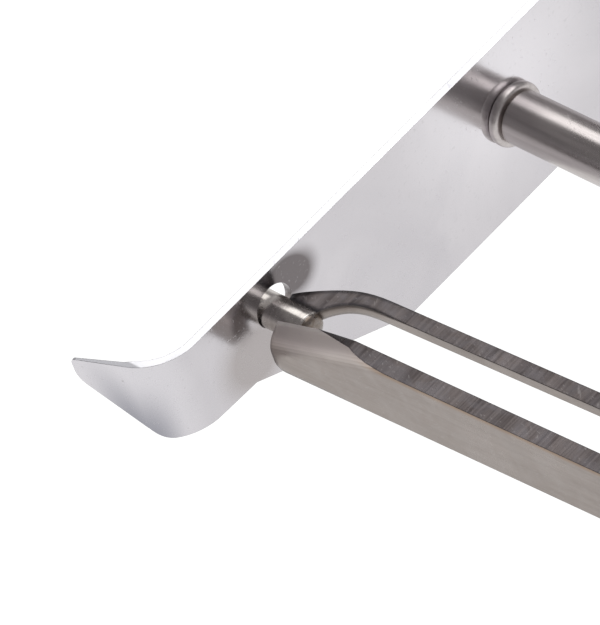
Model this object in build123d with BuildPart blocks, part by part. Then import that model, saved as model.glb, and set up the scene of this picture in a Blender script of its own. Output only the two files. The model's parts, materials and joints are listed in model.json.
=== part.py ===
# Lip grip: a squeeze-handled fish grip made from polished stainless sheet, bar and rod.
#
# The palm pushes on the palm plate and the fingers pull the trigger bar towards it.
# Two pull rods carry that movement forward to a slotted drive plate pair, whose pins
# swing the two jaws open. A spring behind the yoke closes the jaws again.
#
# Working coordinates, in millimetres, are measured from the point where the shaft's
# axis meets the front face of the palm plate: X runs forward to the jaws, Y across the
# tool and Z up. The helpers xy(), yz() and xz() turn them into the part's own frame,
# whose origin is under the middle of the tool, on the surface that it lies on.
import os
from math import atan2, cos, degrees, radians, sin, tan

from build123d import *

os.makedirs("parts", exist_ok=True)

# ---- palm plate: polished sheet with tips curled back round the palm
SHEET = 0.95
PLATE_TOP = 9.4
PLATE_BOTTOM = -11.5
PLATE_WIDE = 20.4  # half width of the deep middle part
PLATE_BEVEL_END = 40.9
PLATE_BEVEL_Z = -1.7
PLATE_NARROW_Z = -1.5
BEND_START = 46.1
BEND_R = 6.4
BEND_ANGLE = 71.0
TIP_LENGTH = 6.45
TIP_RISE = 6.57  # height that the sloping lower edge would reach at the nose
TIP_NOSE_R = 3.2
TIP_CORNER_R = 0.55
TIP_THICK = 0.62  # the tips are ground thinner from behind, from this thickness
TIP_THIN = 0.28  # to this one at the nose

# ---- shaft and its fixing in the plate
SHAFT_R = 3.0
SHAFT_FRONT_R = 2.5
SHOULDER_X = 1.2
SHOULDER_CHAMFER = 0.35
NECK_R = 2.1
WASHER_R = 3.65
WASHER_ROUND = 0.5
NUT_R = 3.9
NUT_T = 1.8
SHAFT_END = 141.0

# ---- side frame: outer rails, guide bars and the pins that join them
PIN_Y = 35.6
PIN_Z = 4.9
PIN_R = 1.9
PIN_OUT = 0.4  # the pin hangs outboard of the middle of its hole
PIN_DROP = 0.42  # and below it
PIN_HOLE_R = 2.5
PIN_REAR = -1.9
PIN_FRONT = 5.5
RAIL_IN_Y = 37.7  # inner face of the outer rail where it would meet the plate
RAIL_T = 2.15
RAIL_LOW = 0.8
RAIL_HIGH = 8.9
RAIL_REAR = 2.7
RAIL_FRONT = 106.0
RAIL_TOE = 1.85
RAIL_END_HIGH = 6.84  # height of the top edge where it is ground down at the rear
RAIL_GRIND_X = 14.4  # where that grind starts
RAIL_SLANT_IN = 6.0  # a second, slanted grind: its height at the rear on the inner side
RAIL_SLANT_OUT = 4.5  # and on the outer side
RAIL_SLANT_RISE = 0.31
RAIL_SLANT_ROUND = 2.4
GUIDE_Y = 30.95
GUIDE_W = 1.8
GUIDE_LOW = 4.4
GUIDE_HIGH = 5.7
GUIDE_TOE = 2.7
GUIDE_FRONT = 99.0

# ---- frame head and cheeks
HEAD_REAR = 96.0
HEAD_FRONT = 104.0
HEAD_HALF_Z = 9.5
HEAD_HALF_Y = 21.0
WING_LOW = -0.5
CHEEK_T = 2.0
CHEEK_FRONT = 160.0
SCREW_X = 100.0
SCREW_HEAD_R = 2.8
SCREW_R = 1.5

# ---- trigger, pull rods and yoke
TRAVEL = 9.0
TRIGGER_REAR = 50.0
TRIGGER_FRONT = 58.0
TRIGGER_HALF_Y = 31.0
TRIGGER_LOW = -6.0
TRIGGER_HIGH = 8.0
HUB_R = 10.0
BUSHING_R = 4.5
SCALLOP_Y = 15.5
SCALLOP_HALF = 8.0
SCALLOP_DEPTH = 3.0
PAD_T = 1.5
ROD_Z = 6.9
ROD_R = 1.6
RUNNING = 0.05  # radial running clearance
YOKE_REAR = 131.0
YOKE_FRONT = 138.0
YOKE_HALF_Y = 9.0
YOKE_HALF_Z = 9.2

# ---- jaws and their drive
JAW_HALF_T = 2.5
PIVOT_X = 148.0
PIVOT_Y = 5.0
PIVOT_R = 2.0
BUSH_R = 3.0
CRANK = 10.0  # distance from the pivots' line to the drive pins' line
DRIVE_X = PIVOT_X + TRAVEL / 2
DRIVE_Y = PIVOT_Y + CRANK
DRIVE_R = 1.5
DRIVE_PLATE_LOW = 2.8
DRIVE_PLATE_HIGH = 4.8
MOUTH_X = 180.0
MOUTH_R = 14.0
JAW_R = 20.0
JAW_GAP = 0.15  # each jaw stops this far short of the middle plane
TAIL_R = 4.0

# ---- spring
WIRE_R = 0.55
COIL_R = 3.6
COIL_PITCH = 3.9

# ---- placing
GUIDE_MID = (GUIDE_LOW + GUIDE_HIGH) / 2
BEND = radians(BEND_ANGLE)
REAR_X = BEND_R * (1 - cos(BEND)) + TIP_LENGTH * sin(BEND) + TIP_THIN * cos(BEND)
FRONT_X = MOUTH_X + JAW_R
X0 = -(FRONT_X - REAR_X) / 2
AXIS_Z = -PLATE_BOTTOM


def xy(z=0.0):
    return Plane(origin=(X0, 0, AXIS_Z + z), x_dir=(1, 0, 0), z_dir=(0, 0, 1))


def yz(x=0.0, y=0.0, z=0.0):
    return Plane(origin=(X0 + x, y, AXIS_Z + z), x_dir=(0, 1, 0), z_dir=(1, 0, 0))


def xz(y=0.0):
    return Plane(origin=(X0, y, AXIS_Z), x_dir=(1, 0, 0), z_dir=(0, -1, 0))


def export(builder, name):
    builder.part.label = name
    export_step(builder.part, f"parts/{name}.step")


def export_pair(right, name):
    """Write the right-hand piece, on -Y, and its mirror image on the left."""
    export(right, f"{name}_right")
    with BuildPart() as left:
        mirror(right.part, about=Plane.XZ)
    export(left, f"{name}_left")


# ============================================================ palm plate
# The flat middle is cut from the front outline. Each end runs on round the bend and
# into a flat tip, whose lower edge slopes up to a rounded nose.
tip_start_x = -BEND_R * (1 - cos(BEND))
tip_start_y = BEND_START + BEND_R * sin(BEND)
tip_plane = Plane(
    origin=(X0 + tip_start_x, -tip_start_y, AXIS_Z),
    x_dir=(-sin(BEND), -cos(BEND), 0),
    z_dir=(-cos(BEND), sin(BEND), 0),
)
with BuildPart() as plate_tip:
    with BuildSketch(xy(PLATE_NARROW_Z)):
        with BuildLine():
            outer = CenterArc((-BEND_R, -BEND_START), BEND_R, -BEND_ANGLE, BEND_ANGLE)
            inner = CenterArc((-BEND_R, -BEND_START), BEND_R - SHEET, -BEND_ANGLE, BEND_ANGLE)
            Line(outer @ 0, inner @ 0)
            Line(outer @ 1, inner @ 1)
        make_face()
    extrude(amount=PLATE_TOP - PLATE_NARROW_Z)
    # local x runs along the tip and local y is the height on this plane
    with BuildSketch(tip_plane) as tip_outline:
        with BuildLine():
            Polyline(
                (0, -0.15),
                (0, PLATE_TOP),
                (TIP_LENGTH, PLATE_TOP),
                (TIP_LENGTH, TIP_RISE),
                (0.3, 0.1),
                close=True,
            )
        make_face()
        nose = tip_outline.vertices().group_by(Axis.X)[-1].sort_by(Axis.Y)
        fillet(nose[0], TIP_NOSE_R)
        fillet(tip_outline.vertices().group_by(Axis.Y)[-1].sort_by(Axis.X)[-1], TIP_CORNER_R)
    extrude(amount=SHEET)
    # the slope starts just inside the bend, where the lower corner is ground round
    with BuildSketch(tip_plane.offset(-1.5)):
        with BuildLine():
            ground = Spline(
                (0.3, 0.12),
                (-0.7, -0.86),
                (-2.3, PLATE_NARROW_Z),
                tangents=[(-0.69, -0.725), (-1, -0.12)],
            )
            Polyline(ground @ 1, (-2.3, -4), (0.3, -4), ground @ 0)
        make_face()
    extrude(amount=4, mode=Mode.SUBTRACT)
    # on this plane local x runs along the tip and local y goes through the sheet
    above_tip = tip_plane.origin + (0, 0, PLATE_TOP + 1)
    with BuildSketch(Plane(above_tip, x_dir=tip_plane.x_dir, z_dir=(0, 0, -1))):
        with BuildLine():
            Polyline(
                (-0.9, SHEET + 0.1),
                (0.6, TIP_THICK),
                (TIP_LENGTH, TIP_THIN),
                (TIP_LENGTH + 1, TIP_THIN),
                (TIP_LENGTH + 1, SHEET + 1),
                (-0.9, SHEET + 1),
                close=True,
            )
        make_face()
    extrude(amount=PLATE_TOP + 3, mode=Mode.SUBTRACT)

with BuildPart() as palm_plate:
    with BuildSketch(yz()):
        with BuildLine():
            Polyline(
                (-BEND_START, PLATE_TOP),
                (-BEND_START, PLATE_NARROW_Z),
                (-PLATE_BEVEL_END, PLATE_BEVEL_Z),
                (-PLATE_WIDE, PLATE_BOTTOM),
                (PLATE_WIDE, PLATE_BOTTOM),
                (PLATE_BEVEL_END, PLATE_BEVEL_Z),
                (BEND_START, PLATE_NARROW_Z),
                (BEND_START, PLATE_TOP),
                close=True,
            )
        make_face()
        with Locations((-PIN_Y, PIN_Z), (PIN_Y, PIN_Z)):
            Circle(PIN_HOLE_R, mode=Mode.SUBTRACT)
        Circle(NECK_R, mode=Mode.SUBTRACT)
    extrude(amount=-SHEET)
    add(plate_tip.part)
    mirror(plate_tip.part, about=Plane.XZ)
export(palm_plate, "palm_plate")

# ============================================================ shaft
with BuildPart() as shaft:
    with BuildSketch(yz(SHOULDER_X)):
        Circle(SHAFT_R)
    extrude(amount=HEAD_REAR - SHOULDER_X)
    chamfer(shaft.edges().sort_by(Axis.X)[0], SHOULDER_CHAMFER)
    with BuildSketch(yz(-SHEET - NUT_T)):
        Circle(NECK_R)
    extrude(amount=SHOULDER_X + SHEET + NUT_T)
    with BuildSketch(yz(HEAD_REAR)):
        Circle(SHAFT_FRONT_R)
    extrude(amount=SHAFT_END - HEAD_REAR)
    chamfer(shaft.edges().sort_by(Axis.X)[-1], 0.5)
export(shaft, "shaft")

# A rounded collar fills the space between the shaft's shoulder and the plate.
with BuildPart() as shaft_washer:
    with BuildSketch(yz()):
        Circle(WASHER_R)
    extrude(amount=SHOULDER_X)
    fillet(shaft_washer.edges().filter_by(GeomType.CIRCLE), WASHER_ROUND)
    with BuildSketch(yz()):
        Circle(NECK_R)
    extrude(amount=SHOULDER_X, mode=Mode.SUBTRACT)
export(shaft_washer, "shaft_washer")

with BuildPart() as shaft_nut:
    with BuildSketch(yz(-SHEET)):
        RegularPolygon(NUT_R, 6)
        Circle(NECK_R, mode=Mode.SUBTRACT)
    extrude(amount=-NUT_T)
export(shaft_nut, "shaft_nut")

with BuildPart() as shaft_clip:
    with BuildSketch(yz(HEAD_FRONT)):
        Circle(5.0)
        Circle(SHAFT_FRONT_R, mode=Mode.SUBTRACT)
        with Locations((0, 5)):
            Rectangle(2.6, 5.5, mode=Mode.SUBTRACT)
    extrude(amount=0.8)
export(shaft_clip, "shaft_clip")

with BuildPart() as spring_washer:
    with BuildSketch(yz(HEAD_FRONT + 0.8)):
        Circle(4.6)
        Circle(SHAFT_FRONT_R + 0.1, mode=Mode.SUBTRACT)
    extrude(amount=0.8)
export(spring_washer, "spring_washer")

# ============================================================ side frame
with BuildPart() as rail_pin:
    with BuildSketch(yz(PIN_REAR, -PIN_Y - PIN_OUT, PIN_Z - PIN_DROP)):
        Circle(PIN_R)
    extrude(amount=PIN_FRONT - PIN_REAR)
    chamfer(rail_pin.edges().filter_by(GeomType.CIRCLE), 0.25)
export_pair(rail_pin, "rail_pin")

toe = radians(RAIL_TOE)
rail_plane = Plane(
    origin=(X0, -RAIL_IN_Y, AXIS_Z),
    x_dir=(cos(toe), sin(toe), 0),
    z_dir=(sin(toe), -cos(toe), 0),
)
slant_corner = Vector(RAIL_REAR, RAIL_SLANT_IN, 0)
slant_across = Vector(0, RAIL_SLANT_OUT - RAIL_SLANT_IN, RAIL_T)
slant_plane = Plane(
    origin=rail_plane.from_local_coords(slant_corner),
    x_dir=rail_plane.from_local_coords(slant_corner + slant_across)
    - rail_plane.from_local_coords(slant_corner),
    z_dir=rail_plane.from_local_coords(slant_corner + slant_across.cross(Vector(1, RAIL_SLANT_RISE, 0)))
    - rail_plane.from_local_coords(slant_corner),
)
with BuildPart() as outer_rail:
    with BuildSketch(rail_plane):
        with BuildLine():
            Polyline(
                (RAIL_REAR, RAIL_LOW + 1.2),
                (RAIL_REAR, RAIL_END_HIGH),
                (RAIL_GRIND_X, RAIL_HIGH),
                (RAIL_FRONT, RAIL_HIGH),
                (RAIL_FRONT, RAIL_LOW),
                (RAIL_REAR + 1.2, RAIL_LOW),
            )
            RadiusArc((RAIL_REAR + 1.2, RAIL_LOW), (RAIL_REAR, RAIL_LOW + 1.2), 1.2)
        make_face()
    extrude(amount=RAIL_T)
    across_rail = Axis((0, 0, 0), rail_plane.z_dir)
    fillet(outer_rail.edges().filter_by(across_rail).group_by(Axis.X)[-1], 2.0)
    with Locations(rail_plane.offset(RAIL_T) * Location((SCREW_X, PIN_Z, 0))):
        CounterSinkHole(radius=SCREW_R, counter_sink_radius=SCREW_HEAD_R, counter_sink_angle=90)
    split(bisect_by=slant_plane, keep=Keep.BOTTOM)
    slanted = outer_rail.faces().filter_by(slant_plane).sort_by(Axis.X)[0]
    fillet(slanted.edges().sort_by(Axis.Y)[0], RAIL_SLANT_ROUND)
    add(rail_pin.part, mode=Mode.SUBTRACT)
export_pair(outer_rail, "outer_rail")

# The guide bar is thin and square, and its rear end swings out to the side of the pin.
guide_slope = tan(radians(GUIDE_TOE))


def guide_edge(x, side):
    """Y of the guide bar's inner (+1) or outer (-1) face at x, on the right-hand side."""
    return -GUIDE_Y + guide_slope * x + side * GUIDE_W / 2


with BuildPart() as guide_bar:
    with BuildSketch(xy(GUIDE_LOW)):
        with BuildLine():
            neck_in = Spline(
                (11.5, guide_edge(11.5, 1)),
                (7.4, -30.2),
                (3.4, -32.3),
                (1.3, -33.9),
                tangents=[(-1, -guide_slope), (-0.72, -0.69)],
            )
            Polyline(neck_in @ 1, (1.6, -35.2), (PIN_FRONT - 0.2, -35.2), (PIN_FRONT - 0.2, -34.7))
            neck_out = Spline(
                (PIN_FRONT - 0.2, -34.7),
                (7.6, -32.2),
                (12.2, guide_edge(12.2, -1)),
                tangents=[(0.45, 0.89), (1, guide_slope)],
            )
            Polyline(
                neck_out @ 1,
                (GUIDE_FRONT, guide_edge(GUIDE_FRONT, -1)),
                (GUIDE_FRONT, guide_edge(GUIDE_FRONT, 1)),
                neck_in @ 0,
            )
        make_face()
    extrude(amount=GUIDE_HIGH - GUIDE_LOW)
    add(rail_pin.part, mode=Mode.SUBTRACT)
export_pair(guide_bar, "guide_bar")

# ============================================================ frame head
rail_slope = tan(toe)


def rail_face(x):
    return RAIL_IN_Y - rail_slope * x


with BuildPart() as frame_head:
    with BuildSketch(yz(HEAD_REAR)):
        Rectangle(2 * HEAD_HALF_Y, 2 * HEAD_HALF_Z)
    extrude(amount=HEAD_FRONT - HEAD_REAR)
    fillet(frame_head.edges().filter_by(Axis.X), 2.0)
    with BuildSketch(xy(WING_LOW)):
        with BuildLine():
            Polyline(
                (HEAD_REAR, -rail_face(HEAD_REAR)),
                (HEAD_FRONT, -rail_face(HEAD_FRONT)),
                (HEAD_FRONT, rail_face(HEAD_FRONT)),
                (HEAD_REAR, rail_face(HEAD_REAR)),
                close=True,
            )
        make_face()
    extrude(amount=HEAD_HALF_Z - WING_LOW - 0.6)
    with BuildSketch(yz(HEAD_REAR)):
        Circle(SHAFT_FRONT_R)
        with Locations((0, ROD_Z), (0, -ROD_Z)):
            Circle(ROD_R + RUNNING)
    extrude(amount=HEAD_FRONT - HEAD_REAR, mode=Mode.SUBTRACT)
    add(guide_bar.part, mode=Mode.SUBTRACT)
    mirror(guide_bar.part, about=Plane.XZ, mode=Mode.SUBTRACT)

# Countersunk screws hold the rails to the ends of the head and the cheeks to its top
# and bottom. The same screw shape is turned towards each face.

def screw(plane, length, socket=True):
    """A countersunk screw whose flat head lies on the plane, pointing against its normal."""
    with BuildPart() as piece:
        with BuildSketch(plane):
            Circle(SCREW_HEAD_R)
        with BuildSketch(plane.offset(SCREW_R - SCREW_HEAD_R)):
            Circle(SCREW_R)
        loft()
        with BuildSketch(plane.offset(SCREW_R - SCREW_HEAD_R)):
            Circle(SCREW_R)
        extrude(amount=-(length - SCREW_HEAD_R + SCREW_R))
        if socket:
            with BuildSketch(plane):
                RegularPolygon(1.15, 6)
            extrude(amount=-1.2, mode=Mode.SUBTRACT)
    return piece


def screw_set(plane, length, mirrors, socket=True):
    """The screw on the plane and its mirror images about each plane in turn."""
    one = screw(plane, length, socket)
    with BuildPart() as group:
        add(one.part)
        for about in mirrors:
            mirror(group.part, about=about)
    return group


MID_Z = Plane.XY.offset(AXIS_Z)
CHEEK_SCREW_Y = 13.0
rail_screw_plane = Plane(rail_plane.offset(RAIL_T) * Location((SCREW_X, PIN_Z, 0)))
cheek_screw_plane = Plane(origin=(X0 + SCREW_X, CHEEK_SCREW_Y, AXIS_Z + HEAD_HALF_Z + CHEEK_T))
rail_screws = screw_set(rail_screw_plane, 8.0, [Plane.XZ])
cheek_screws = screw_set(cheek_screw_plane, 7.5, [Plane.XZ, MID_Z])
rail_screw_holes = screw_set(rail_screw_plane, 8.0, [Plane.XZ], socket=False)
cheek_screw_holes = screw_set(cheek_screw_plane, 7.5, [Plane.XZ, MID_Z], socket=False)
export(rail_screws, "rail_screws")
export(cheek_screws, "cheek_screws")

with BuildPart() as frame_head_drilled:
    add(frame_head.part)
    add(rail_screw_holes.part, mode=Mode.SUBTRACT)
    add(cheek_screw_holes.part, mode=Mode.SUBTRACT)
export(frame_head_drilled, "frame_head")

# ============================================================ cheeks
with BuildPart() as cheek_top:
    with BuildSketch(xy(HEAD_HALF_Z)):
        with BuildLine():
            rear_left = (HEAD_REAR, HEAD_HALF_Y - 3)
            Polyline((HEAD_REAR, -HEAD_HALF_Y + 3), rear_left)
            Polyline(rear_left, (HEAD_REAR + 3, HEAD_HALF_Y), (PIVOT_X - 8, HEAD_HALF_Y))
            Spline(
                (PIVOT_X - 8, HEAD_HALF_Y),
                (CHEEK_FRONT - 4, 9.5),
                (CHEEK_FRONT, 0),
                (CHEEK_FRONT - 4, -9.5),
                (PIVOT_X - 8, -HEAD_HALF_Y),
                tangents=[(1, 0), (-1, 0)],
            )
            Polyline(
                (PIVOT_X - 8, -HEAD_HALF_Y), (HEAD_REAR + 3, -HEAD_HALF_Y), (HEAD_REAR, -HEAD_HALF_Y + 3)
            )
        make_face()
        with Locations((PIVOT_X, PIVOT_Y), (PIVOT_X, -PIVOT_Y)):
            Circle(PIVOT_R, mode=Mode.SUBTRACT)
        with Locations(((HEAD_FRONT + YOKE_REAR) / 2, 0)):
            SlotOverall(22, 9, mode=Mode.SUBTRACT)
    extrude(amount=CHEEK_T)
    chamfer(cheek_top.faces().sort_by(Axis.Z)[-1].outer_wire().edges(), 0.3)
    add(cheek_screw_holes.part, mode=Mode.SUBTRACT)
export(cheek_top, "cheek_top")

with BuildPart() as cheek_bottom:
    mirror(cheek_top.part, about=MID_Z)
export(cheek_bottom, "cheek_bottom")

# ============================================================ pivots
CHEEK_OUT = HEAD_HALF_Z + CHEEK_T
with BuildPart() as pivot_pin:
    with BuildSketch(xy(-CHEEK_OUT)):
        with Locations((PIVOT_X, -PIVOT_Y)):
            Circle(PIVOT_R)
    extrude(amount=2 * CHEEK_OUT)
export_pair(pivot_pin, "pivot_pin")

SPACER_LOW = DRIVE_PLATE_HIGH + 0.3
with BuildPart() as pivot_spacers:
    for low in (SPACER_LOW, -HEAD_HALF_Z):
        with BuildSketch(xy(low)):
            with Locations((PIVOT_X, PIVOT_Y), (PIVOT_X, -PIVOT_Y)):
                Circle(4.0)
                Circle(PIVOT_R, mode=Mode.SUBTRACT)
        extrude(amount=HEAD_HALF_Z - SPACER_LOW)
export(pivot_spacers, "pivot_spacers")

# ============================================================ trigger
SCALLOP_R = (SCALLOP_HALF**2 + SCALLOP_DEPTH**2) / (2 * SCALLOP_DEPTH)
SCALLOP_X = TRIGGER_FRONT - SCALLOP_DEPTH + SCALLOP_R
with BuildPart() as trigger_bushing:
    with BuildSketch(yz(TRIGGER_REAR)):
        Circle(BUSHING_R)
        Circle(SHAFT_R + RUNNING, mode=Mode.SUBTRACT)
    extrude(amount=TRIGGER_FRONT - TRIGGER_REAR + 1)
    chamfer(trigger_bushing.faces().sort_by(Axis.X)[-1].edges().sort_by(SortBy.LENGTH)[-1], 0.4)
export(trigger_bushing, "trigger_bushing")

with BuildPart() as trigger_bar:
    with BuildSketch(xy(TRIGGER_LOW)):
        with Locations(((TRIGGER_REAR + TRIGGER_FRONT) / 2, 0)):
            RectangleRounded(TRIGGER_FRONT - TRIGGER_REAR, 2 * TRIGGER_HALF_Y, 2.4)
        with Locations((SCALLOP_X, SCALLOP_Y), (SCALLOP_X, -SCALLOP_Y)):
            Circle(SCALLOP_R, mode=Mode.SUBTRACT)
    extrude(amount=TRIGGER_HIGH - TRIGGER_LOW)
    fillet(trigger_bar.faces().sort_by(Axis.Z)[-1].edges(), 0.8)
    fillet(trigger_bar.faces().sort_by(Axis.Z)[0].edges(), 0.8)
    with BuildSketch(yz(TRIGGER_REAR)):
        Circle(HUB_R)
    extrude(amount=TRIGGER_FRONT - TRIGGER_REAR)
    with BuildSketch(yz(TRIGGER_REAR)):
        Circle(BUSHING_R)
        with Locations((0, ROD_Z), (0, -ROD_Z)):
            Circle(ROD_R)
        # the notch at each end slides on the guide bar and stops the trigger turning
        with Locations((TRIGGER_HALF_Y, GUIDE_MID), (-TRIGGER_HALF_Y, GUIDE_MID)):
            Rectangle(2 * (TRIGGER_HALF_Y - 26.3), GUIDE_HIGH - GUIDE_LOW + 0.3)
    extrude(amount=TRIGGER_FRONT - TRIGGER_REAR, mode=Mode.SUBTRACT)
export(trigger_bar, "trigger_bar")

with BuildPart() as finger_pad:
    with BuildSketch(xy(TRIGGER_LOW + 1.4)):
        with Locations((SCALLOP_X, -SCALLOP_Y)):
            Circle(SCALLOP_R)
            Circle(SCALLOP_R - PAD_T, mode=Mode.SUBTRACT)
        with Locations((TRIGGER_REAR, -SCALLOP_Y)):
            Rectangle(2 * (TRIGGER_FRONT - 1.6 - TRIGGER_REAR), 2 * SCALLOP_HALF, mode=Mode.INTERSECT)
    extrude(amount=TRIGGER_HIGH - TRIGGER_LOW - 2.8)
export_pair(finger_pad, "finger_pad")

ROD_REAR = TRIGGER_REAR - 3.2
ROD_SEAT = YOKE_REAR + 3.0
for name, side in (("pull_rod_top", 1), ("pull_rod_bottom", -1)):
    with BuildPart() as pull_rod:
        with BuildSketch(yz(ROD_REAR, 0, side * ROD_Z)):
            Circle(ROD_R)
        extrude(amount=ROD_SEAT - ROD_REAR)
        chamfer(pull_rod.edges().sort_by(Axis.X)[0], 0.3)
    export(pull_rod, name)

with BuildPart() as rod_nuts:
    for side in (1, -1):
        with BuildSketch(yz(TRIGGER_REAR, 0, side * ROD_Z)):
            RegularPolygon(3.0, 6, rotation=30)
            Circle(ROD_R, mode=Mode.SUBTRACT)
        extrude(amount=-2.4)
export(rod_nuts, "rod_nuts")

# ============================================================ yoke and drive plates
TONGUE_REAR = YOKE_FRONT - 4.0
with BuildPart() as drive_plate_top:
    with BuildSketch(xy(DRIVE_PLATE_LOW)):
        with BuildLine():
            Polyline(
                (TONGUE_REAR, -7),
                (YOKE_FRONT + 2, -7),
                (PIVOT_X - 4, -DRIVE_Y - 3),
                (DRIVE_X + 6, -DRIVE_Y - 3),
                (DRIVE_X + 9.5, -DRIVE_Y + 1),
                (DRIVE_X + 9.5, DRIVE_Y - 1),
                (DRIVE_X + 6, DRIVE_Y + 3),
                (PIVOT_X - 4, DRIVE_Y + 3),
                (YOKE_FRONT + 2, 7),
                (TONGUE_REAR, 7),
                close=True,
            )
        make_face()
        with Locations((PIVOT_X + TRAVEL / 2, PIVOT_Y), (PIVOT_X + TRAVEL / 2, -PIVOT_Y)):
            SlotOverall(TRAVEL + 2 * PIVOT_R + 0.8, 2 * PIVOT_R + 0.6, mode=Mode.SUBTRACT)
        with Locations((DRIVE_X, DRIVE_Y), (DRIVE_X, -DRIVE_Y)):
            Circle(DRIVE_R, mode=Mode.SUBTRACT)
    extrude(amount=DRIVE_PLATE_HIGH - DRIVE_PLATE_LOW)

DOWEL_X = YOKE_FRONT - 2.0
with BuildPart() as yoke_dowels:
    with BuildSketch(xy(-YOKE_HALF_Z)):
        with Locations((DOWEL_X, 5.0), (DOWEL_X, -5.0)):
            Circle(1.0)
    extrude(amount=2 * YOKE_HALF_Z)
export(yoke_dowels, "yoke_dowels")

with BuildPart() as drive_plate_pinned:
    add(drive_plate_top.part)
    add(yoke_dowels.part, mode=Mode.SUBTRACT)
export(drive_plate_pinned, "drive_plate_top")

with BuildPart() as drive_plate_bottom:
    mirror(drive_plate_pinned.part, about=MID_Z)
export(drive_plate_bottom, "drive_plate_bottom")

with BuildPart() as drive_yoke:
    with BuildSketch(yz(YOKE_REAR)):
        RectangleRounded(2 * YOKE_HALF_Y, 2 * YOKE_HALF_Z, 2.0)
        Circle(SHAFT_FRONT_R + RUNNING, mode=Mode.SUBTRACT)
    extrude(amount=YOKE_FRONT - YOKE_REAR)
    with BuildSketch(yz(YOKE_REAR)):
        with Locations((0, ROD_Z), (0, -ROD_Z)):
            Circle(ROD_R)
    extrude(amount=ROD_SEAT - YOKE_REAR, mode=Mode.SUBTRACT)
    add(drive_plate_pinned.part, mode=Mode.SUBTRACT)
    add(drive_plate_bottom.part, mode=Mode.SUBTRACT)
    add(yoke_dowels.part, mode=Mode.SUBTRACT)
export(drive_yoke, "drive_yoke")

with BuildPart() as drive_pin:
    with BuildSketch(xy(-DRIVE_PLATE_HIGH)):
        with Locations((DRIVE_X, -DRIVE_Y)):
            Circle(DRIVE_R)
    extrude(amount=2 * DRIVE_PLATE_HIGH)
    for low in (DRIVE_PLATE_HIGH, -DRIVE_PLATE_HIGH - 0.8):
        with BuildSketch(xy(low)):
            with Locations((DRIVE_X, -DRIVE_Y)):
                Circle(2.4)
        extrude(amount=0.8)
export_pair(drive_pin, "drive_pin")

# ============================================================ jaws
# Each jaw is half of a ring with a shank back to its pivot. A slotted tail stands out
# to the side, where the drive pin pushes it round.
TAIL_ANGLE = degrees(atan2(CRANK, TRAVEL / 2))
CRANK_MAX = CRANK / sin(radians(TAIL_ANGLE))
SLOT_INNER = CRANK - 0.4
SLOT_OUTER = CRANK_MAX + 0.4
with BuildPart() as jaw:
    with BuildSketch(xy(-JAW_HALF_T)):
        with Locations((MOUTH_X, 0)):
            Circle(JAW_R)
            Circle(MOUTH_R, mode=Mode.SUBTRACT)
        with Locations(((PIVOT_X + MOUTH_X - MOUTH_R) / 2, -PIVOT_Y + 0.5)):
            Rectangle(MOUTH_X - MOUTH_R - PIVOT_X, 2 * PIVOT_Y - 1)
        with Locations((MOUTH_X, JAW_R - JAW_GAP)):
            Rectangle(3 * JAW_R, 2 * JAW_R, mode=Mode.SUBTRACT)
        with Locations((PIVOT_X, -PIVOT_Y)):
            Circle(PIVOT_Y - JAW_GAP)
        with Locations(Location((PIVOT_X, -PIVOT_Y), -TAIL_ANGLE)):
            with Locations(((SLOT_OUTER + DRIVE_R + 0.3) / 2, 0)):
                SlotCenterToCenter(SLOT_OUTER + DRIVE_R + 0.3, 2 * TAIL_R)
            with Locations(((SLOT_INNER + SLOT_OUTER) / 2, 0)):
                SlotCenterToCenter(SLOT_OUTER - SLOT_INNER, 2 * (DRIVE_R + 0.3), mode=Mode.SUBTRACT)
        with Locations((PIVOT_X, -PIVOT_Y)):
            Circle(BUSH_R, mode=Mode.SUBTRACT)
    extrude(amount=2 * JAW_HALF_T)
    fillet(jaw.edges().filter_by(GeomType.CIRCLE).filter_by(lambda e: e.radius == JAW_R), 0.9)
export_pair(jaw, "jaw")

with BuildPart() as jaw_bush:
    with BuildSketch(xy(-JAW_HALF_T)):
        with Locations((PIVOT_X, -PIVOT_Y)):
            Circle(BUSH_R)
            Circle(PIVOT_R + RUNNING, mode=Mode.SUBTRACT)
    extrude(amount=2 * JAW_HALF_T)
export_pair(jaw_bush, "jaw_bush")

# A wide rounded pad is welded across the tip of each jaw to spread the load on the lip.
with BuildPart() as jaw_pad:
    with BuildSketch(xz(-JAW_GAP)):
        with Locations((MOUTH_X + (MOUTH_R + JAW_R) / 2 - 0.4, 0)):
            Ellipse(3.4, 6.0)
        with Locations((MOUTH_X + JAW_R, 0)):
            Rectangle(2 * JAW_R, 2 * JAW_HALF_T, mode=Mode.SUBTRACT)
    extrude(amount=1.6)
export_pair(jaw_pad, "jaw_pad")

# ============================================================ return spring
SPRING_REAR = HEAD_FRONT + 1.6
SPRING_END_GAP = WIRE_R + 0.05
coil_length = YOKE_REAR - SPRING_REAR - 2 * SPRING_END_GAP
spring_start = (X0 + SPRING_REAR + SPRING_END_GAP, 0, AXIS_Z)
with BuildPart() as return_spring:
    with BuildLine() as coil:
        Helix(COIL_PITCH, coil_length, COIL_R, center=spring_start, direction=(1, 0, 0))
    with BuildSketch(Plane(origin=coil.line @ 0, z_dir=coil.line % 0)):
        Circle(WIRE_R)
    sweep(path=coil.line, is_frenet=True)
export(return_spring, "return_spring")
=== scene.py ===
# %% [markdown]
# # A squeeze-handled lip grip in polished steel
#
# This lesson dresses a finished mechanical model for a close product picture. The frame
# below brings in every piece at its real size, in metres, already sitting in its place.
# The work here is the studio, the surface of each metal, and the small things that a
# workshop leaves behind, such as weld beads and moulded ribs.

# %% Load the tool
import bpy
import bmesh
import json
import math
from mathutils import Matrix, Vector


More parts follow.
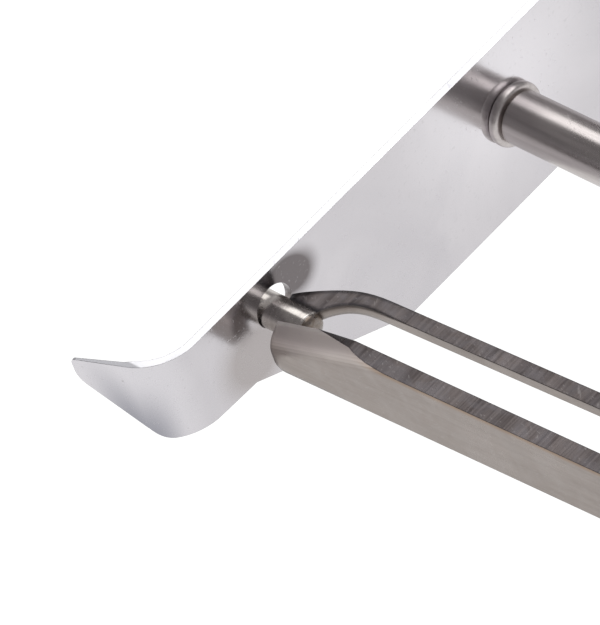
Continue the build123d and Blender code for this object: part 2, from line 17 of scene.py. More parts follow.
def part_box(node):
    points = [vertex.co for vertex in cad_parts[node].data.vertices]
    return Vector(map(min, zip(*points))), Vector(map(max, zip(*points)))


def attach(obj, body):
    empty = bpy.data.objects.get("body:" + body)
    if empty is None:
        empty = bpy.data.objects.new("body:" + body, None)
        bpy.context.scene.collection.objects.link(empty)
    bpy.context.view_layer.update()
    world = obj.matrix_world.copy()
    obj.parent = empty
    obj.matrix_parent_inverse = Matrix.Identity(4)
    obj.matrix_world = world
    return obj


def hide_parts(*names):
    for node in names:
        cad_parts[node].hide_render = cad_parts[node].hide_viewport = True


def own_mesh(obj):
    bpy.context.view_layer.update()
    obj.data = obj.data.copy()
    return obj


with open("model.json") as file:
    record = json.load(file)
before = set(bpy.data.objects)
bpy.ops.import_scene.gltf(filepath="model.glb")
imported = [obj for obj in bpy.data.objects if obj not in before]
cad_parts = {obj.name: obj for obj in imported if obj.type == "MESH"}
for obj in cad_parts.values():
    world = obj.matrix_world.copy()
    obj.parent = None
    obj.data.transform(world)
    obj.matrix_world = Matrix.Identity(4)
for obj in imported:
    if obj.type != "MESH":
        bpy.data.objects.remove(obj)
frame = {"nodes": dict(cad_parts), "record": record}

scene = bpy.context.scene
scene.view_settings.view_transform = "Standard"
nodes = frame["nodes"]
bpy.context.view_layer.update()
MM = 0.001
print("pieces loaded:", len(nodes))

# %% [markdown]
# ## Where things are
#
# Everything is measured from one point: where the shaft's axis meets the front face of the palm plate.
# The collar stands on that face, so its box gives the place, and the shaft's box gives the height of
# its axis. Keeping one origin like this means that a bead placed at given points still fits if the
# tool is made longer.

# %% The tool's own origin
shaft_low, shaft_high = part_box("shaft")
collar_low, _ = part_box("shaft_washer")
rail_low, rail_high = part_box("outer_rail_right")
PLATE_FACE = Vector((collar_low.x, 0.0, (shaft_low.z + shaft_high.z) / 2))


def at(x, y, z):
    """A point in millimetres from the tool's own origin, as a place in the scene."""
    return PLATE_FACE + Vector((x, y, z)) * MM


print("plate face at x =", round(PLATE_FACE.x, 4), "axis at z =", round(PLATE_FACE.z, 4))

# %% [markdown]
# ## The camera
#
# A close-up of a small tool is usually shot from a metre away with a long lens, because
# a near camera would make the bars taper. The camera looks down at 45 degrees, from the
# tool's right and ahead of the plate, and it is rolled so that the plate climbs across
# the picture. Its three directions are written down as a turn, a tilt and a roll.

# %% Camera
VIEW_TURN = math.radians(57.36)
VIEW_TILT = math.radians(44.56)
VIEW_ROLL = math.radians(20.9)
VIEW_DISTANCE = 1.2
VIEW_WIDTH = 62.07 * MM
AIM_RIGHT = -21.83 * MM
AIM_UP = -20.74 * MM

back = Vector((
    math.sin(VIEW_TURN) * math.cos(VIEW_TILT),
    -math.cos(VIEW_TURN) * math.cos(VIEW_TILT),
    math.sin(VIEW_TILT),
))
level = Vector((math.cos(VIEW_TURN), math.sin(VIEW_TURN), 0.0))
upright = back.cross(level)
right = level * math.cos(VIEW_ROLL) - upright * math.sin(VIEW_ROLL)
up = back.cross(right)
aim = PLATE_FACE + right * AIM_RIGHT + up * AIM_UP

camera_data = bpy.data.cameras.new("close_up")
camera_data.sensor_fit = "HORIZONTAL"
camera_data.sensor_width = 36.0
camera_data.lens = camera_data.sensor_width * VIEW_DISTANCE / VIEW_WIDTH
camera_data.clip_start = 0.01
camera_data.clip_end = 50.0
camera = bpy.data.objects.new("close_up", camera_data)
scene.collection.objects.link(camera)
turned = Matrix((right, up, back)).transposed().to_4x4()
camera.matrix_world = Matrix.Translation(aim + back * VIEW_DISTANCE) @ turned
scene.camera = camera
print("lens", round(camera_data.lens), "mm, right", [round(v, 4) for v in right])

# %% [markdown]
# ## Small helpers for node trees
#
# A node tree is easier to read when adding a node, setting its sockets and wiring it up
# are each one call. A value that is a socket is linked, and anything else is a constant.

# %% Node helpers


def put(tree, kind, sockets=None, **settings):
    """Add a node, set its properties, then link or fill the sockets that are named."""
    node = tree.nodes.new(kind)
    for name, value in settings.items():
        setattr(node, name, value)
    for name, value in (sockets or {}).items():
        if isinstance(value, bpy.types.NodeSocket):
            tree.links.new(value, node.inputs[name])
        else:
            node.inputs[name].default_value = value
    return node


def maths(tree, operation, first, second=0.0, clamp=False):
    """One Math node, returning its output."""
    node = put(tree, "ShaderNodeMath", {0: first, 1: second}, operation=operation, use_clamp=clamp)
    return node.outputs[0]


def vector_maths(tree, operation, *values, output=0):
    """One Vector Math node, returning the output that is asked for."""
    node = put(tree, "ShaderNodeVectorMath", dict(enumerate(values)), operation=operation)
    return node.outputs[output]


def mix(tree, factor, first, second):
    """One colour mix, returning its colour output."""
    node = tree.nodes.new("ShaderNodeMix")
    node.data_type = "RGBA"
    for index, value in ((0, factor), (6, first), (7, second)):
        if isinstance(value, bpy.types.NodeSocket):
            tree.links.new(value, node.inputs[index])
        else:
            node.inputs[index].default_value = value
    return node.outputs[2]


def span(tree, value, low, high, to_low=0.0, to_high=1.0, smooth=True):
    """Stretch a value from one range to another, held at both ends."""
    node = put(tree, "ShaderNodeMapRange", {
        "Value": value, "From Min": low, "From Max": high, "To Min": to_low, "To Max": to_high,
    })
    node.interpolation_type = "SMOOTHSTEP" if smooth else "LINEAR"
    return node.outputs[0]


def effect(name, inputs, outputs):
    """Start a shader node group with named sockets, and return its tree and its two ends."""
    tree = bpy.data.node_groups.new(name, "ShaderNodeTree")
    for label, kind, value in inputs:
        socket = tree.interface.new_socket(label, in_out="INPUT", socket_type=kind)
        socket.default_value = value
    for label, kind in outputs:
        tree.interface.new_socket(label, in_out="OUTPUT", socket_type=kind)
    ends = tree.nodes.new("NodeGroupInput"), tree.nodes.new("NodeGroupOutput")
    return tree, ends[0].outputs, ends[1].inputs


def place(tree, group, sockets):
    """Put a finished effect in a material."""
    node = tree.nodes.new("ShaderNodeGroup")
    node.node_tree = group
    for name, value in sockets.items():
        if isinstance(value, bpy.types.NodeSocket):
            tree.links.new(value, node.inputs[name])
        else:
            node.inputs[name].default_value = value
    return node.outputs


FLOAT, VECTOR = "NodeSocketFloat", "NodeSocketVector"
print("helpers ready")

# %% [markdown]
# ## Effect 1: drawn grain
#
# Rolled and brushed steel carries thousands of fine lines along one direction. Noise
# that is squeezed hard across the metal and hardly at all along it gives those lines.
# The stretch is an input, so the same group can run along a bar or across its edge.

# %% Drawn grain group
grain_tree, given, made = effect(
    "drawn_grain",
    [("Stretch", VECTOR, (1.0, 1.0, 1.0)), ("Scale", FLOAT, 1000.0)],
    [("Value", FLOAT), ("Coarse", FLOAT)],
)
where = put(grain_tree, "ShaderNodeTexCoord").outputs["Object"]
squeezed = vector_maths(grain_tree, "MULTIPLY", where, given["Stretch"])
fine = put(grain_tree, "ShaderNodeTexNoise", {
    "Vector": squeezed, "Scale": given["Scale"], "Detail": 6.0, "Roughness": 0.68,
}).outputs[0]
coarse_scale = maths(grain_tree, "MULTIPLY", given["Scale"], 0.22)
coarse = put(grain_tree, "ShaderNodeTexNoise", {
    "Vector": squeezed, "Scale": coarse_scale, "Detail": 3.0, "Roughness": 0.5,
}).outputs[0]
grain_tree.links.new(span(grain_tree, fine, 0.3, 0.7), made["Value"])
grain_tree.links.new(span(grain_tree, coarse, 0.35, 0.65), made["Coarse"])
print("made", grain_tree.name)

# %% [markdown]
# ## Effect 2: stray scratches
#
# Handling leaves a few separate scratches that cross each other. Two squeezed noises at
# different angles, cut off so that only their peaks remain, look like that. The group
# gives a mask, which a material can use for roughness, for colour and for height.

# %% Stray scratches group
scratch_tree, given, made = effect(
    "stray_scratches",
    [("Scale", FLOAT, 4000.0), ("Sparse", FLOAT, 0.68)],
    [("Mask", FLOAT)],
)
where = put(scratch_tree, "ShaderNodeTexCoord").outputs["Object"]
layers = []
for turn, stretch in (((0.5, 0.3, 0.4), (0.04, 1.0, 0.7)), ((1.1, -0.6, 2.0), (1.0, 0.05, 0.6))):
    turned_at = put(scratch_tree, "ShaderNodeMapping", {"Vector": where, "Rotation": turn}).outputs[0]
    pulled = vector_maths(scratch_tree, "MULTIPLY", turned_at, stretch)
    lines = put(scratch_tree, "ShaderNodeTexNoise", {
        "Vector": pulled, "Scale": given["Scale"], "Detail": 1.0, "Roughness": 0.5,
    }).outputs[0]
    limit = maths(scratch_tree, "ADD", given["Sparse"], 0.05)
    layers.append(span(scratch_tree, lines, given["Sparse"], limit))
both = maths(scratch_tree, "MAXIMUM", layers[0], layers[1])
scratch_tree.links.new(both, made["Mask"])
print("made", scratch_tree.name)

# %% [markdown]
# ## Effect 3: wipe marks
#
# Bright metal is never evenly clean. Broad soft patches, where a cloth has dragged a
# little oil about, change how blurred the reflections are.

# %% Wipe marks group
wipe_tree, given, made = effect("wipe_marks", [("Scale", FLOAT, 60.0)], [("Value", FLOAT)])
where = put(wipe_tree, "ShaderNodeTexCoord").outputs["Object"]
bent = put(wipe_tree, "ShaderNodeTexNoise", {
    "Vector": where, "Scale": given["Scale"], "Detail": 3.0, "Distortion": 1.2,
})
wipe_tree.links.new(span(wipe_tree, bent.outputs[0], 0.32, 0.7), made["Value"])
print("made", wipe_tree.name)

# %% [markdown]
# ## Effect 4: broken edges
#
# A sharp edge is taken off with a file or a belt, and that thin rounded line catches the
# light. The Bevel node works out a rounded normal near each edge without changing the
# mesh. Comparing it with the flat normal also gives a mask for the worn line.

# %% Broken edges group
edge_tree, given, made = effect(
    "broken_edges", [("Radius", FLOAT, 0.0002)], [("Normal", VECTOR), ("Mask", FLOAT)]
)
rounded = put(edge_tree, "ShaderNodeBevel", {"Radius": given["Radius"]}, samples=6).outputs[0]
flat = put(edge_tree, "ShaderNodeNewGeometry").outputs["Normal"]
close = vector_maths(edge_tree, "DOT_PRODUCT", rounded, flat, output="Value")
edge_tree.links.new(rounded, made["Normal"])
edge_tree.links.new(span(edge_tree, close, 0.995, 0.86), made["Mask"])
print("made", edge_tree.name)

# %% [markdown]
# ## Effect 5: pits
#
# Polished sheet often shows a few pin-prick pits where a speck was pulled out by the
# wheel. Small round cells with random sizes, most of them too small to show, do it.

# %% Pits group
pit_tree, given, made = effect(
    "pits", [("Scale", FLOAT, 900.0), ("Size", FLOAT, 0.12)], [("Mask", FLOAT)]
)
where = put(pit_tree, "ShaderNodeTexCoord").outputs["Object"]
cells = put(pit_tree, "ShaderNodeTexVoronoi", {"Vector": where, "Scale": given["Scale"]})
chance = put(pit_tree, "ShaderNodeSeparateColor", {"Color": cells.outputs["Color"]}).outputs[0]
rare = maths(pit_tree, "GREATER_THAN", chance, 0.86)
hollow = span(pit_tree, cells.outputs["Distance"], given["Size"], 0.0)
pit_tree.links.new(maths(pit_tree, "MULTIPLY", rare, hollow), made["Mask"])
print("made", pit_tree.name)

# %% [markdown]
# ## Effect 6: a soft spot
#
# The sheet needs a cloud of another tone at certain places. This group gives a soft round
# mask about a point. Both sides of the tool are dressed alike, so the side distance is
# made positive first, and one spot serves both.

# %% Soft spot group
spot_tree, given, made = effect(
    "soft_spot",
    [("Centre", VECTOR, (0.0, 0.0, 0.0)), ("Reach", FLOAT, 0.003)],
    [("Mask", FLOAT)],
)
where = put(spot_tree, "ShaderNodeTexCoord").outputs["Object"]
parts = put(spot_tree, "ShaderNodeSeparateXYZ", {0: where})
side = maths(spot_tree, "ABSOLUTE", parts.outputs["Y"])
mirrored = put(spot_tree, "ShaderNodeCombineXYZ", {
    "X": parts.outputs["X"], "Y": side, "Z": parts.outputs["Z"],
}).outputs[0]
offset = vector_maths(spot_tree, "SUBTRACT", mirrored, given["Centre"])
away = vector_maths(spot_tree, "LENGTH", offset, output="Value")
spot_tree.links.new(span(spot_tree, away, given["Reach"], 0.0), made["Mask"])
print("made", spot_tree.name)

# %% [markdown]
# ## A common recipe for the steels
#
# Most of the metals here differ only in colour, blur, grain direction and how scratched
# they are, so one function mixes the effects for all of them. The Principled shader
# itself stays in each material, with the constants set straight on its sockets.

# %% Steel recipe
ALONG_X = (0.03, 1.0, 1.0)
ALONG_Y = (1.0, 0.03, 1.0)
AROUND_X = (1.0, 0.12, 0.12)
WORN_BRIGHT = (0.86, 0.84, 0.82, 1)
finishes = {}


def start_material(name):
    """Make a material, and return its node tree and its Principled shader."""
    material = bpy.data.materials.new(name)
    material.use_nodes = True
    tree = material.node_tree
    finishes[name] = material
    return tree, tree.nodes["Principled BSDF"]


def close_material(tree, surface, tone, blur, bump, metallic=1.0):
    """Wire a colour, a blur and a bump into the Principled shader."""
    tree.links.new(tone, surface.inputs["Base Color"])
    tree.links.new(blur, surface.inputs["Roughness"])
    tree.links.new(bump.outputs[0], surface.inputs["Normal"])
    surface.inputs["Metallic"].default_value = metallic


def facing_up(tree):
    """How far the flat surface faces up, from -1 to 1."""
    direction = put(tree, "ShaderNodeNewGeometry").outputs["True Normal"]
    return put(tree, "ShaderNodeSeparateXYZ", {0: direction}).outputs["Z"]


def scaled(tree, value, amount):
    """A value times a constant."""
    return maths(tree, "MULTIPLY", value, amount)


def steel(name, light, dark, blur, stretch, grain, grain_depth, marks, edge):
    """A bright metal: two colours by grain, blur between two values, scratches and edges."""
    tree, surface = start_material(name)
    drawn = place(tree, grain_tree, {"Stretch": stretch, "Scale": grain})
    scratch = place(tree, scratch_tree, {"Scale": 5000.0, "Sparse": marks})["Mask"]
    wiped = place(tree, wipe_tree, {"Scale": 75.0})["Value"]
    worn = place(tree, edge_tree, {"Radius": edge * MM})
    body = mix(tree, drawn["Value"], (*dark, 1), (*light, 1))
    body = mix(tree, scaled(tree, scratch, 0.35), body, (*light, 1))
    body = mix(tree, scaled(tree, worn["Mask"], 0.5), body, WORN_BRIGHT)
    rough = span(tree, wiped, 0.0, 1.0, *blur)
    rough = maths(tree, "ADD", rough, scaled(tree, scratch, 0.12))
    bump = put(tree, "ShaderNodeBump", {
        "Strength": 0.25, "Distance": grain_depth * MM,
        "Height": drawn["Value"], "Normal": worn["Normal"],
    })
    close_material(tree, surface, body, rough, bump)


print("recipe ready")

# %% [markdown]
# ## Palm plate: mirror-polished sheet
#
# The plate is buffed until it mirrors the shaft and the bars, a little blurred. Its face is pale with
# a trace of violet, with faint wipe marks and a few pits. The narrow edges were sheared and only
# deburred, so they scatter light, and their tone is painted near white, a painted highlight. The
# direction of the surface, read from the normal, tells the edges from the faces.

# %% Plate: what varies over it
tree, surface = start_material("plate_polish")
scratch = place(tree, scratch_tree, {"Scale": 3600.0, "Sparse": 0.69})["Mask"]
wiped = place(tree, wipe_tree, {"Scale": 55.0})["Value"]
worn = place(tree, edge_tree, {"Radius": 0.1 * MM})
pitted = place(tree, pit_tree, {"Scale": 700.0, "Size": 0.16})["Mask"]
sheared = span(tree, maths(tree, "ABSOLUTE", facing_up(tree)), 0.5, 0.75)
where = put(tree, "ShaderNodeSeparateXYZ", {0: put(tree, "ShaderNodeTexCoord").outputs["Object"]})
out_from_middle = maths(tree, "ABSOLUTE", where.outputs["Y"])
print("plate masks made")

# %% [markdown]
# ## Palm plate: the clouded places
#
# A sheet this bright mirrors the whole room, and this studio is much plainer than a real
# one. Soft spots and slow ramps in the sheet's own tone stand in for the reflections that
# are missing: a pale one round the shaft, dark ones by the hooks of the guide bars and by
# the pins, and one on each tip. The tip's lower edge climbs as it goes back, so the cloud
# there is measured from that slope. The cost is that the clouds stay put when the camera
# moves, which a true reflection would not.

# %% Plate: the clouded places
TIP_BEHIND = 4.3 * MM  # the bend ends this far behind the plate's face
TIP_SLOPE = 1.11
CLOUD_LOW, CLOUD_HIGH = -1.2 * MM, 8.0 * MM
BEND_STARTS, BEND_ENDS = 46.5 * MM, 51.0 * MM
CLOUD_STARTS, CLOUD_ENDS = 49.6 * MM, 52.2 * MM
DULL_STARTS, DULL_ENDS = 51.3 * MM, 51.6 * MM
NOSE_BEHIND, NOSE_CLEAR = 10.0 * MM, 5.5 * MM


def spot(x, y, z, reach):
    """A soft mask round a point given in millimetres from the tool's own origin."""
    return place(tree, spot_tree, {"Centre": at(x, y, z), "Reach": reach * MM})["Mask"]


# Painted reflection: a pale spot on the sheet round the shaft.
shaft_pale_reflection = spot(0, 2, 5, 18.0)
# Painted reflection: dark spots on the sheet by the hooks of the guide bars.
hook_reflection_spots = maths(tree, "ADD", spot(0, 33.6, 7.2, 3.8), spot(0, 31.6, 6.0, 3.8))
hook_dark_reflection = maths(tree, "MULTIPLY", hook_reflection_spots, 1.7, clamp=True)
# Painted reflection: a dark spot on the sheet by the pins, which also blurs the sheet a little.
pin_dark_reflection = maths(tree, "MULTIPLY", spot(0, 40.0, 1.3, 7.0), 1.6, clamp=True)
along_tip = maths(tree, "SUBTRACT", where.outputs["X"], PLATE_FACE.x - TIP_BEHIND)
along_tip = maths(tree, "MINIMUM", along_tip, 0.0)
from_edge = maths(tree, "ADD", where.outputs["Z"], scaled(tree, along_tip, TIP_SLOPE))
low_down = span(tree, from_edge, PLATE_FACE.z + CLOUD_HIGH, PLATE_FACE.z + CLOUD_LOW)
far_out = span(tree, out_from_middle, BEND_STARTS, BEND_ENDS)
round_bend = span(tree, out_from_middle, CLOUD_STARTS, CLOUD_ENDS)
past_bend = span(tree, out_from_middle, DULL_STARTS, DULL_ENDS)
before_nose = span(
    tree, where.outputs["X"], PLATE_FACE.x - NOSE_BEHIND, PLATE_FACE.x - NOSE_CLEAR
)
# Painted reflection: the sheet is painted darker towards each tip's lower edge.
tip_dark_reflection = scaled(tree, maths(tree, "MULTIPLY", low_down, round_bend), 0.95)
tip_dark_reflection = maths(tree, "MULTIPLY", tip_dark_reflection, before_nose)
print("clouds placed")

# %% [markdown]
# ## Palm plate: colour, blur and dents
#
# The painted reflections are laid over the buffed tone one at a time, then the scratches and pits, and
# the painted highlight of the sheared edges last, because it covers everything. Past the bend the
# sheet was ground thin, and there the edge's painted highlight is darker. Scratches and edges also
# blur the reflections a little.

# %% Plate: colour, blur and dents
polish = mix(tree, wiped, (0.60, 0.58, 0.60, 1), (0.545, 0.528, 0.55, 1))
# Painted reflections: pale round the shaft, and dark by the hooks, by the pins and along each tip's
# lower edge. The sheet is also lighter towards the bend.
for mask, tone in (
    (shaft_pale_reflection, (0.72, 0.70, 0.725, 1)),
    (far_out, (0.62, 0.605, 0.63, 1)),
    (scaled(tree, hook_dark_reflection, 0.92), (0.13, 0.114, 0.115, 1)),
    (scaled(tree, pin_dark_reflection, 0.8), (0.36, 0.33, 0.322, 1)),
    (tip_dark_reflection, (0.28, 0.28, 0.315, 1)),
    (scaled(tree, scratch, 0.25), (0.5, 0.49, 0.5, 1)),
    (scaled(tree, pitted, 0.7), (0.22, 0.2, 0.2, 1)),
):
    polish = mix(tree, mask, polish, tone)
# Painted highlight: the sheared edges are painted near white, and darker past the bend.
sheared_edge_highlight = mix(tree, wiped, (0.84, 0.84, 0.86, 1), (0.74, 0.74, 0.77, 1))
sheared_edge_highlight = mix(tree, past_bend, sheared_edge_highlight, (0.42, 0.42, 0.44, 1))
polish = mix(tree, sheared, polish, sheared_edge_highlight)
blur = maths(tree, "ADD", span(tree, wiped, 0.0, 1.0, 0.13, 0.19), scaled(tree, scratch, 0.1))
blur = maths(tree, "ADD", blur, scaled(tree, sheared, 0.2))
blur = maths(tree, "ADD", blur, scaled(tree, maths(tree, "ADD", pin_dark_reflection, far_out), 0.1))
dents = maths(tree, "ADD", scaled(tree, scratch, -0.4), scaled(tree, pitted, -1.0))
bump = put(tree, "ShaderNodeBump", {
    "Strength": 0.3, "Distance": 0.02 * MM, "Height": dents, "Normal": worn["Normal"],
})
close_material(tree, surface, polish, blur, bump)
print("plate finish made")

# %% [markdown]
# ## Shaft: bright drawn bar
#
# The shaft is drawn through a die and polished, so its lines run along it and its blur is
# small. It is a warmer and darker steel than the sheet.

# %% Shaft and pin materials
steel(
    "shaft_chrome", (0.54, 0.50, 0.49), (0.43, 0.40, 0.39), (0.25, 0.33), ALONG_X,
    grain=1500.0, grain_depth=0.006, marks=0.69, edge=0.15,
)
steel(
    "pin_steel", (0.56, 0.53, 0.50), (0.42, 0.39, 0.37), (0.16, 0.26), AROUND_X,
    grain=1600.0, grain_depth=0.006, marks=0.69, edge=0.15,
)
print("round stock finishes made")

# %% [markdown]
# ## Rails: cross-ground flat bar
#
# Flat bar comes with a satin face and dull edges. On the tool its edges were ground across on a belt,
# which leaves cross lines, and the ground edges that face up are painted nearly black, a painted dark
# reflection. A faint brown line just below the ridge is drawn as a heat tint. The height in the bar
# drives that tint, and the direction of the surface picks out the ground edges.

# %% Rail: what varies over it
END_GRIND_STARTS, END_GRIND_FULL = 15 * MM, 5 * MM
EDGE_R, END_EDGE_R = 0.15 * MM, 0.8 * MM
TINT_DEPTH, TINT_TOP = 0.8 * MM, 0.05 * MM

tree, surface = start_material("rail_steel")
drawn = place(tree, grain_tree, {"Stretch": ALONG_X, "Scale": 1300.0})
crossed = place(tree, grain_tree, {"Stretch": ALONG_Y, "Scale": 2600.0})
scratch = place(tree, scratch_tree, {"Scale": 5000.0, "Sparse": 0.68})["Mask"]
wiped = place(tree, wipe_tree, {"Scale": 90.0})["Value"]
clouded = place(tree, wipe_tree, {"Scale": 420.0})["Value"]
where = put(tree, "ShaderNodeSeparateXYZ", {0: put(tree, "ShaderNodeTexCoord").outputs["Object"]})
rear = span(tree, where.outputs["X"], rail_low.x + END_GRIND_STARTS, rail_low.x + END_GRIND_FULL)
worn = place(tree, edge_tree, {"Radius": span(tree, rear, 0.0, 1.0, EDGE_R, END_EDGE_R)})
upward = facing_up(tree)
ground = span(tree, upward, 0.88, 0.97)
not_ground = maths(tree, "SUBTRACT", 1.0, ground)
slanted = maths(tree, "MULTIPLY", span(tree, upward, 0.1, 0.75), not_ground)
tinted = span(tree, where.outputs["Z"], rail_high.z - TINT_DEPTH, rail_high.z - TINT_TOP)
print("rail masks made")

# %% [markdown]
# ## Rails: colour, blur and dents
#
# The sides and the ground edges have their own tones, and the mask of the ground edges chooses between
# them; the tone of the ground edges is a painted dark reflection. The slanted grind at the rear end is
# fresh metal, and its tone is painted lighter the more it faces upwards, a painted highlight that
# makes it the brightest part; its reflections are the most blurred. A bluish grey painted highlight
# lies along the edges.

# %% Rail: colour, blur and dents
side_tone = mix(tree, drawn["Value"], (0.25, 0.217, 0.198, 1), (0.295, 0.257, 0.236, 1))
side_tone = mix(tree, scaled(tree, clouded, 0.35), side_tone, (0.33, 0.30, 0.285, 1))
side_tone = mix(tree, scaled(tree, tinted, 0.7), side_tone, (0.25, 0.155, 0.085, 1))
# Painted dark reflection: the ground edges that face up are painted nearly black, with cross lines in
# them.
ground_edge_dark_reflection = mix(tree, crossed["Value"], (0.035, 0.029, 0.029, 1), (0.095, 0.082, 0.08, 1))
ground_edge_dark_reflection = mix(tree, scaled(tree, crossed["Coarse"], 0.3), ground_edge_dark_reflection, (0.15, 0.13, 0.125, 1))
ground_edge_dark_reflection = mix(tree, scaled(tree, clouded, 0.35), ground_edge_dark_reflection, (0.12, 0.115, 0.125, 1))
tone = mix(tree, ground, side_tone, ground_edge_dark_reflection)
# Painted highlight: the slanted grind is painted lighter the more it faces upwards.
tone = mix(tree, scaled(tree, slanted, 0.85), tone, (0.80, 0.73, 0.69, 1))
tone = mix(tree, scaled(tree, scratch, 0.1), tone, (0.5, 0.48, 0.47, 1))
# Painted highlight: a bluish grey line along the bar's edges, laid on the worn-edge mask.
tone = mix(tree, scaled(tree, worn["Mask"], 0.2), tone, (0.42, 0.43, 0.47, 1))
blur = span(tree, wiped, 0.0, 1.0, 0.26, 0.36)
blur = maths(tree, "ADD", blur, scaled(tree, slanted, 0.14))
cross_lines = maths(tree, "MULTIPLY", crossed["Value"], ground)
lines = maths(tree, "ADD", cross_lines, scaled(tree, drawn["Value"], 0.4))
bump = put(tree, "ShaderNodeBump", {
    "Strength": 0.3, "Distance": 0.02 * MM, "Height": lines, "Normal": worn["Normal"],
})
close_material(tree, surface, tone, blur, bump)
print("rail finish made")

# %% [markdown]
# ## The other metals
#
# The cheeks are satin sheet, the head and trigger are blasted alloy, the jaws are polished plate, and
# the rest is small hardware. The shared recipe covers all of them but the blasted alloy, which is made
# in the next cell.

# %% Sheet, jaw, fastener, spring and bronze
for name, light, dark, blur, stretch, grain, grain_depth, marks, edge in (
    ("sheet_steel", (0.68, 0.67, 0.68), (0.60, 0.59, 0.60), (0.25, 0.275),
     ALONG_X, 1400.0, 0.008, 0.7, 0.25),
    ("jaw_steel", (0.70, 0.68, 0.68), (0.62, 0.60, 0.60), (0.12, 0.22),
     ALONG_X, 1000.0, 0.004, 0.68, 0.4),
    ("fastener_steel", (0.6, 0.59, 0.58), (0.45, 0.44, 0.43), (0.22, 0.34),
     AROUND_X, 2000.0, 0.008, 0.69, 0.12),
    ("spring_steel", (0.5, 0.48, 0.46), (0.34, 0.32, 0.31), (0.2, 0.32),
     AROUND_X, 2200.0, 0.006, 0.7, 0.1),
    ("bearing_bronze", (0.66, 0.46, 0.22), (0.48, 0.32, 0.14), (0.28, 0.4),
     AROUND_X, 2400.0, 0.01, 0.68, 0.15),
):
    steel(name, light, dark, blur, stretch, grain, grain_depth, marks, edge)
print("finishes so far:", len(finishes))

# %% [markdown]
# ## Blasted alloy
#
# Bead blasting leaves alloy evenly dimpled, like very fine orange peel. The dimples come
# from a fine noise through a Bump node, and handling polishes the edges brighter.

# %% Blasted alloy
tree, surface = start_material("head_alloy")
where = put(tree, "ShaderNodeTexCoord").outputs["Object"]
dimples = put(tree, "ShaderNodeTexNoise", {"Vector": where, "Scale": 5200.0, "Detail": 3.0}).outputs[0]
clouds = place(tree, wipe_tree, {"Scale": 110.0})["Value"]
scratch = place(tree, scratch_tree, {"Scale": 4500.0, "Sparse": 0.7})["Mask"]
worn = place(tree, edge_tree, {"Radius": 0.35 * MM})
tone = mix(tree, clouds, (0.5, 0.505, 0.52, 1), (0.58, 0.585, 0.6, 1))
tone = mix(tree, scaled(tree, dimples, 0.25), tone, (0.42, 0.42, 0.44, 1))
tone = mix(tree, maths(tree, "MAXIMUM", worn["Mask"], scratch), tone, (0.8, 0.8, 0.82, 1))
bump = put(tree, "ShaderNodeBump", {
    "Strength": 0.5, "Distance": 0.03 * MM, "Height": dimples, "Normal": worn["Normal"],
})
close_material(tree, surface, tone, span(tree, clouds, 0.0, 1.0, 0.36, 0.46), bump)
print("alloy finish made")

# %% [markdown]
# ## Moulded rubber
#
# The finger pads are black moulded rubber with a fine spark-eroded texture, dull, with
# slightly greyer high spots where fingers rub.

# %% Rubber
tree, surface = start_material("pad_rubber")
where = put(tree, "ShaderNodeTexCoord").outputs["Object"]
pebble = put(tree, "ShaderNodeTexNoise", {"Vector": where, "Scale": 3600.0, "Detail": 4.0}).outputs[0]
rubbed = place(tree, wipe_tree, {"Scale": 160.0})["Value"]
worn = place(tree, edge_tree, {"Radius": 0.3 * MM})
tone = mix(tree, rubbed, (0.022, 0.022, 0.024, 1), (0.045, 0.045, 0.048, 1))
tone = mix(tree, scaled(tree, worn["Mask"], 0.5), tone, (0.09, 0.09, 0.095, 1))
bump = put(tree, "ShaderNodeBump", {
    "Strength": 0.6, "Distance": 0.05 * MM, "Height": pebble, "Normal": worn["Normal"],
})
dull = span(tree, pebble, 0.3, 0.7, 0.55, 0.8)
close_material(tree, surface, tone, dull, bump, metallic=0.0)
print("rubber made")

# %% [markdown]
# ## Weld metal
#
# A weld cools dark and rough, with a little scale and some browner patches. Two noises
# give the scale and the patches, and a Bump node makes the scale stand up.

# %% Weld metal
tree, surface = start_material("weld_metal")
where = put(tree, "ShaderNodeTexCoord").outputs["Object"]
scale = put(tree, "ShaderNodeTexNoise", {"Vector": where, "Scale": 2600.0, "Detail": 4.0}).outputs[0]
clouds = place(tree, wipe_tree, {"Scale": 900.0})["Value"]
tone = mix(tree, scale, (0.13, 0.11, 0.1, 1), (0.27, 0.245, 0.23, 1))
tone = mix(tree, scaled(tree, clouds, 0.4), tone, (0.2, 0.14, 0.09, 1))
bump = put(tree, "ShaderNodeBump", {"Strength": 0.5, "Distance": 0.06 * MM, "Height": scale})
close_material(tree, surface, tone, span(tree, clouds, 0.0, 1.0, 0.24, 0.4), bump)
print("weld metal made")

# %% [markdown]
# ## Weld beads
#
# The pins are welded to the bars. Each bead is a row of balls that overlap, like the
# ripples a welder leaves, and each pin's front end is closed with a low dome of weld. The
# beads are built on the right and mirrored to the left, and they ride on the frame. The
# dome and the rail's bead show. The guide bar's bead lies inside the metal of the joint, so
# it doesn't: it would have to be moved outwards to be seen.

# %% Weld beads
RIPPLE_SWELL = 0.12  # how much one ripple differs in size from the next
RIPPLE_TURN = 2.4  # radians of the swell from one ripple to the next


def add_piece(name, shape, finish):
    """Turn a finished bmesh into an object with a material, and free the bmesh."""
    data = bpy.data.meshes.new(name)
    shape.to_mesh(data)
    shape.free()
    data.materials.append(finishes[finish])
    piece = bpy.data.objects.new(name, data)
    scene.collection.objects.link(piece)
    return piece


